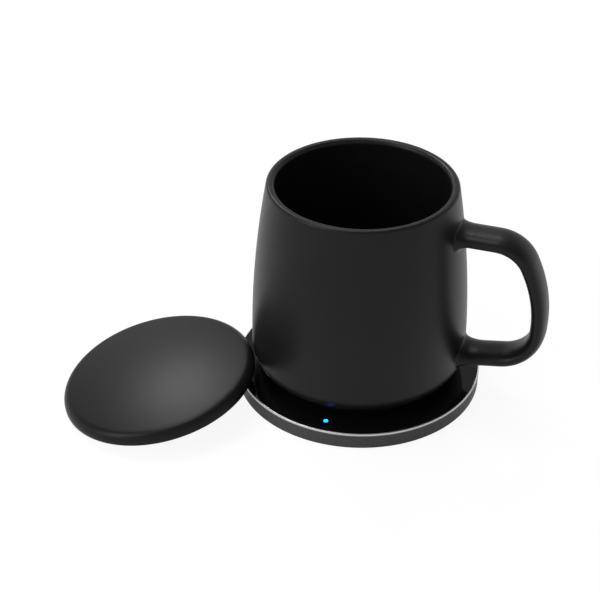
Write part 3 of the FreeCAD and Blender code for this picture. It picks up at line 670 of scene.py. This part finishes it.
def light_guide():
    """The clear pin over the status light, brightest in its middle."""
    made, tree, shader = finish("light_guide", (0.02, 0.25, 0.9), 0.25)
    low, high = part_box("light_guide")
    middle = (low + high) / 2
    radius = distance(tree, here(tree, (1, 1, 0)), (middle.x, middle.y, 0))
    glow = colours(tree, maths(tree, "MULTIPLY", radius, 1 / LIGHT_R),
                   (0.0, (0.0, 0.28, 1.0)), (0.6, (0.0, 0.2, 1.0)), (1.0, (0.0, 0.1, 0.6)))
    tree.links.new(glow, shader.inputs["Emission Color"])
    shader.inputs["Emission Strength"].default_value = LIGHT_STRENGTH
    relief(tree, shader, noise(tree, here(tree), 0.2 * MM), 0.01 * MM)
    return made


def led_white():
    """A small light's white case with its blue-lit window."""
    made, tree, shader = finish("led_white", (0.8, 0.8, 0.76), 0.4)
    spots = cells(tree, here(tree), 0.9 * MM)
    tree.links.new(colours(tree, spots, (0.15, (0.5, 0.5, 0.12)), (0.3, (0.8, 0.8, 0.76))),
                   shader.inputs["Base Color"])
    relief(tree, shader, spots, 0.05 * MM)
    return made


def steel(name, color=(0.5, 0.5, 0.51), rough=0.35):
    """Bare metal with fine scratches and slight dulling."""
    made, tree, shader = finish(name, color, rough, metal=1.0)
    where = here(tree)
    scratches = noise(tree, here(tree, (1, 9, 3)), 0.9 * MM, 5)
    mottle(tree, shader, color, rough, where, cloud=4 * MM, share=0.12, drift=0.08)
    relief(tree, shader, scratches, 0.01 * MM)
    return made


def spreader():
    """A rolled aluminium disc with its rolling lines one way."""
    color = (0.78, 0.79, 0.8)
    made, tree, shader = finish("spreader", color, 0.32, metal=1.0)
    lines = noise(tree, here(tree, (1, 40, 40)), 12 * MM, 5)
    tree.links.new(colours(tree, lines, (0.3, shade(color, 0.88)), (0.7, shade(color, 1.06))),
                   shader.inputs["Base Color"])
    tree.links.new(spread(tree, lines, 0.26, 0.4), shader.inputs["Roughness"])
    relief(tree, shader, lines, 0.006 * MM)
    return made


def heater_film():
    """Amber film with a heating track winding to and fro under it."""
    made, tree, shader = finish("heater_film", (0.55, 0.22, 0.03), 0.28)
    track = tree.nodes.new("ShaderNodeTexWave")
    track.wave_type = "RINGS"
    track.rings_direction = "Z"
    track.inputs["Scale"].default_value = TRACK_SCALE
    track.inputs["Distortion"].default_value = 0.0
    tree.links.new(here(tree), track.inputs["Vector"])
    tree.links.new(colours(tree, track.outputs["Fac"], (0.42, (0.56, 0.24, 0.035)),
                           (0.5, (0.3, 0.13, 0.03))), shader.inputs["Base Color"])
    tree.links.new(spread(tree, noise(tree, here(tree), 5 * MM), 0.22, 0.36),
                   shader.inputs["Roughness"])
    relief(tree, shader, track.outputs["Fac"], 0.03 * MM)
    return made


def copper_wire():
    """Enamelled copper laid in close turns, painted dark in the gaps between turns and bright on
    their crowns: painted shade and painted highlight.
    """
    made, tree, shader = finish("copper_wire", (0.62, 0.25, 0.1), 0.3, metal=1.0)
    turns = maths(tree, "SINE", maths(tree, "MULTIPLY", axis_radius(tree),
                                      math.tau / WIRE_PITCH))
    # Painted shade in the gaps between turns and a painted highlight on each turn's crown
    tree.links.new(colours(tree, spread(tree, turns, 0, 1, -1, 1), (0.0, (0.16, 0.05, 0.02)),
                           (0.45, (0.6, 0.24, 0.09)), (1.0, (0.75, 0.34, 0.15))),
                   shader.inputs["Base Color"])
    tree.links.new(spread(tree, noise(tree, here(tree), 2 * MM), 0.22, 0.4),
                   shader.inputs["Roughness"])
    relief(tree, shader, turns, 0.06 * MM)
    return made


def ferrite():
    """A grey sintered sheet, pre-cracked into small tiles."""
    color = (0.035, 0.035, 0.038)
    made, tree, shader = finish("ferrite", color, 0.55)
    where = here(tree)
    cracks = cells(tree, where, 2.2 * MM, "DISTANCE_TO_EDGE")
    tree.links.new(colours(tree, cracks, (0.0, (0.008, 0.008, 0.009)), (0.06, color),
                           (1.0, shade(color, 1.4))), shader.inputs["Base Color"])
    tree.links.new(spread(tree, noise(tree, where, 1.5 * MM), 0.48, 0.62),
                   shader.inputs["Roughness"])
    relief(tree, shader, spread(tree, cracks, 0, 1, 0, 0.08), 0.02 * MM)
    return made


def board_green():
    """Circuit board: green mask over lighter tracks, with a fine glass weave."""
    made, tree, shader = finish("board_green", (0.01, 0.11, 0.04), 0.32)
    where = here(tree)
    bricks = node(tree, "TexBrick", Vector=where, Scale=260.0)
    bricks.inputs["Mortar Size"].default_value = 0.06
    tracks = bricks.outputs["Fac"]
    tree.links.new(colours(tree, tracks, (0.0, (0.008, 0.095, 0.035)),
                           (1.0, (0.02, 0.17, 0.06))), shader.inputs["Base Color"])
    tree.links.new(spread(tree, noise(tree, where, 1.2 * MM), 0.26, 0.4),
                   shader.inputs["Roughness"])
    weave = relief(tree, shader, noise(tree, here(tree, (1, 1, 4)), 0.35 * MM), 0.006 * MM)
    relief(tree, shader, tracks, 0.02 * MM, weave)
    return made


def ribbon():
    """A flat amber cable with its conductors showing as stripes."""
    made, tree, shader = finish("ribbon", (0.4, 0.16, 0.03), 0.3)
    stripes = maths(tree, "SINE", maths(tree, "MULTIPLY", axis_radius(tree),
                                        math.tau / WIRE_PITCH))
    tree.links.new(colours(tree, spread(tree, stripes, 0, 1, -1, 1), (0.4, (0.42, 0.17, 0.03)),
                           (0.6, (0.22, 0.09, 0.02))), shader.inputs["Base Color"])
    tree.links.new(spread(tree, noise(tree, here(tree), 2 * MM), 0.24, 0.4),
                   shader.inputs["Roughness"])
    relief(tree, shader, stripes, 0.01 * MM)
    return made


def foam():
    """Pale closed-cell foam, painted darker in its bubbles' pits as painted shade."""
    color = (0.62, 0.61, 0.57)
    made, tree, shader = finish("foam", color, 0.9, specular=0.2)
    bubbles = cells(tree, here(tree), 0.7 * MM)
    # Painted shade: the colour darkens in the bubbles' pits
    tree.links.new(colours(tree, bubbles, (0.1, shade(color, 0.72)), (0.5, color)),
                   shader.inputs["Base Color"])
    tree.links.new(spread(tree, bubbles, 0.82, 0.95, 0, 1), shader.inputs["Roughness"])
    relief(tree, shader, bubbles, 0.15 * MM)
    return made


def cell_foil():
    """Crinkled aluminium-laminate pouch, painted darker in the folds of its crinkles and lighter
    on their ridges: painted shade and painted reflection.
    """
    color = (0.6, 0.61, 0.62)
    made, tree, shader = finish("cell_foil", color, 0.3, metal=1.0)
    creases = noise(tree, here(tree), 5 * MM, 6)
    # Painted shade in the crinkles' folds and painted reflection on their ridges
    tree.links.new(colours(tree, creases, (0.3, shade(color, 0.85)), (0.7, shade(color, 1.1))),
                   shader.inputs["Base Color"])
    tree.links.new(spread(tree, creases, 0.24, 0.42), shader.inputs["Roughness"])
    relief(tree, shader, creases, 0.25 * MM)
    return made


def tape():
    """Black double-sided tape with a crepe texture, painted darker in the crepe's hollows and
    lighter on its ridges as painted shade.
    """
    color = (0.02, 0.02, 0.02)
    made, tree, shader = finish("tape", color, 0.7, specular=0.3)
    crepe = noise(tree, here(tree, (1, 4, 1)), 1.2 * MM, 5)
    # Painted shade: darker in the crepe's hollows, lighter on its ridges
    tree.links.new(colours(tree, crepe, (0.3, shade(color, 0.7)), (0.7, shade(color, 1.4))),
                   shader.inputs["Base Color"])
    tree.links.new(spread(tree, crepe, 0.6, 0.8), shader.inputs["Roughness"])
    relief(tree, shader, crepe, 0.04 * MM)
    return made


def all_finishes():
    """Every finish by the name of its slot in the record."""
    made = [
        mug_black(), lid_black(), liner_black(), side_grey(), trim_bright(), panel_black(),
        light_guide(), led_white(), spreader(), heater_film(), ferrite(), board_green(),
        ribbon(), foam(), cell_foil(), tape(), copper_wire(),
        steel("screw_steel", (0.34, 0.34, 0.35), 0.38), steel("socket_steel"),
        moulded("foot_silicone", (0.028, 0.028, 0.03), 0.62, specular=0.35),
        moulded("base_plastic", (0.014, 0.014, 0.015), 0.5),
        moulded("inner_plastic", (0.62, 0.62, 0.59), 0.5),
        moulded("chips_black", (0.012, 0.012, 0.013), 0.45, grain=0.25 * MM, depth=0.01 * MM),
        moulded("sensor_epoxy", (0.012, 0.012, 0.1), 0.22, grain=0.8 * MM),
        moulded("lead_red", (0.42, 0.02, 0.014), 0.4, grain=0.9 * MM),
        moulded("bond", (0.3, 0.3, 0.29), 0.55, grain=1.2 * MM, depth=0.05 * MM),
        moulded("seal_silicone", (0.073, 0.073, 0.078), 0.5, grain=1.0 * MM, specular=0.4),
    ]
    return {material.name: material for material in made}


def dress(finishes):
    """Gives every node of the frame the finish of its slot."""
    for row in frame["record"]["subparts"]:
        mesh = frame["nodes"][row["node"]].data
        mesh.materials.clear()
        mesh.materials.append(finishes[row["material_slot"]])


# Pieces of the scene

def show(made, body, finishes, slot, *stands_for):
    """Dresses a piece, ties it to a body and puts it in the place of its nodes."""
    made.data.materials.append(finishes[slot])
    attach(made, body)
    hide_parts(*stands_for)


# Studio

def shown(tree):
    """One on rays that show a surface: from the camera, off gloss or through glass."""
    rays = node(tree, "LightPath").outputs
    gloss = maths(tree, "MAXIMUM", rays["Is Glossy Ray"], rays["Is Transmission Ray"])
    return maths(tree, "MAXIMUM", rays["Is Camera Ray"], gloss)


def floor_finish():
    """White where it shows, with a faint shadow near the object, and pale for the rest."""
    made = bpy.data.materials.new("floor")
    made.use_nodes = True
    tree = made.node_tree
    tree.nodes.clear()
    plain = node(tree, "BsdfDiffuse", Color=(FLOOR_PLAIN, FLOOR_PLAIN, FLOOR_PLAIN, 1))
    away = distance(tree, here(tree))
    lit = spread(tree, away, FLOOR_SHADOW, 0, FLOOR_NEAR, FLOOR_FAR)
    shadowed = node(tree, "BsdfDiffuse", Color=lit)
    strength = maths(tree, "SUBTRACT", FLOOR_WHITE, lit)
    glow = node(tree, "Emission", Color=(1, 1, 1, 1), Strength=strength)
    both = tree.nodes.new("ShaderNodeAddShader")
    tree.links.new(shadowed.outputs[0], both.inputs[0])
    tree.links.new(glow.outputs[0], both.inputs[1])
    mix = node(tree, "MixShader", Fac=shown(tree))
    tree.links.new(plain.outputs[0], mix.inputs[1])
    tree.links.new(both.outputs[0], mix.inputs[2])
    out = tree.nodes.new("ShaderNodeOutputMaterial")
    tree.links.new(mix.outputs[0], out.inputs["Surface"])
    return made


def floor():
    """A wide floor at the object's foot."""
    mesh = bpy.data.meshes.new("floor")
    half = FLOOR_HALF
    corners = [(-half, -half, 0), (half, -half, 0), (half, half, 0), (-half, half, 0)]
    mesh.from_pydata(corners, [], [(0, 1, 2, 3)])
    made = bpy.data.objects.new("floor", mesh)
    bpy.context.scene.collection.objects.link(made)
    mesh.materials.append(floor_finish())


def world():
    """A white backdrop that dims overhead where it shows, and a soft room for the rest."""
    made = bpy.data.worlds.new("studio")
    bpy.context.scene.world = made
    made.use_nodes = True
    tree = made.node_tree
    tree.nodes.clear()
    ahead = node(tree, "SeparateXYZ", Vector=node(tree, "TexCoord").outputs["Generated"])
    backdrop = spread(tree, ahead.outputs["Z"], ROOM_LOW, ROOM_OVERHEAD,
                      ROOM_LOW_Z, ROOM_OVERHEAD_Z)
    level = spread(tree, shown(tree), ROOM_PLAIN, backdrop, 0, 1)
    back = node(tree, "Background", Color=(1, 1, 1, 1), Strength=level)
    out = tree.nodes.new("ShaderNodeOutputWorld")
    tree.links.new(back.outputs[0], out.inputs["Surface"])


def softbox(name, towards, away, size, power, seen=True):
    """A lamp in a direction from the object, turned to face it, seen in gloss or not."""
    lamp = bpy.data.lights.new(name, "AREA")
    lamp.shape = "RECTANGLE"
    lamp.size, lamp.size_y = size
    lamp.energy = power
    made = bpy.data.objects.new(name, lamp)
    made.location = LAMP_AIM + Vector(towards).normalized() * away
    made.rotation_euler = (made.location - LAMP_AIM).to_track_quat("Z", "Y").to_euler()
    made.visible_glossy = seen
    bpy.context.scene.collection.objects.link(made)


def camera():
    """The photograph's camera."""
    lens = bpy.data.cameras.new("camera")
    lens.lens = CAMERA_LENS
    lens.sensor_width = SENSOR_W
    made = bpy.data.objects.new("camera", lens)
    made.location = (CAMERA_AWAY * math.sin(CAMERA_ROUND), -CAMERA_AWAY * math.cos(CAMERA_ROUND),
                     CAMERA_UP)
    made.rotation_euler = (math.pi / 2 - CAMERA_DOWN, 0, CAMERA_ROUND + CAMERA_PAN)
    bpy.context.scene.collection.objects.link(made)
    bpy.context.scene.camera = made


for plain in list(bpy.data.materials):
    bpy.data.materials.remove(plain)
finishes = all_finishes()
dress(finishes)
show(lathe("mug_body", mug_outline()), "mug", finishes, "mug_black", "mug_shell")
show(handle_mesh(), "mug", finishes, "mug_black", "handle")
show(lean(lathe("lid_cap", lid_outline())), "lid", finishes, "lid_black", "lid_shell")
floor()
world()
for name, settings in LAMPS.items():
    softbox(name, **settings)
camera()
bpy.context.scene.view_settings.view_transform = "Standard"
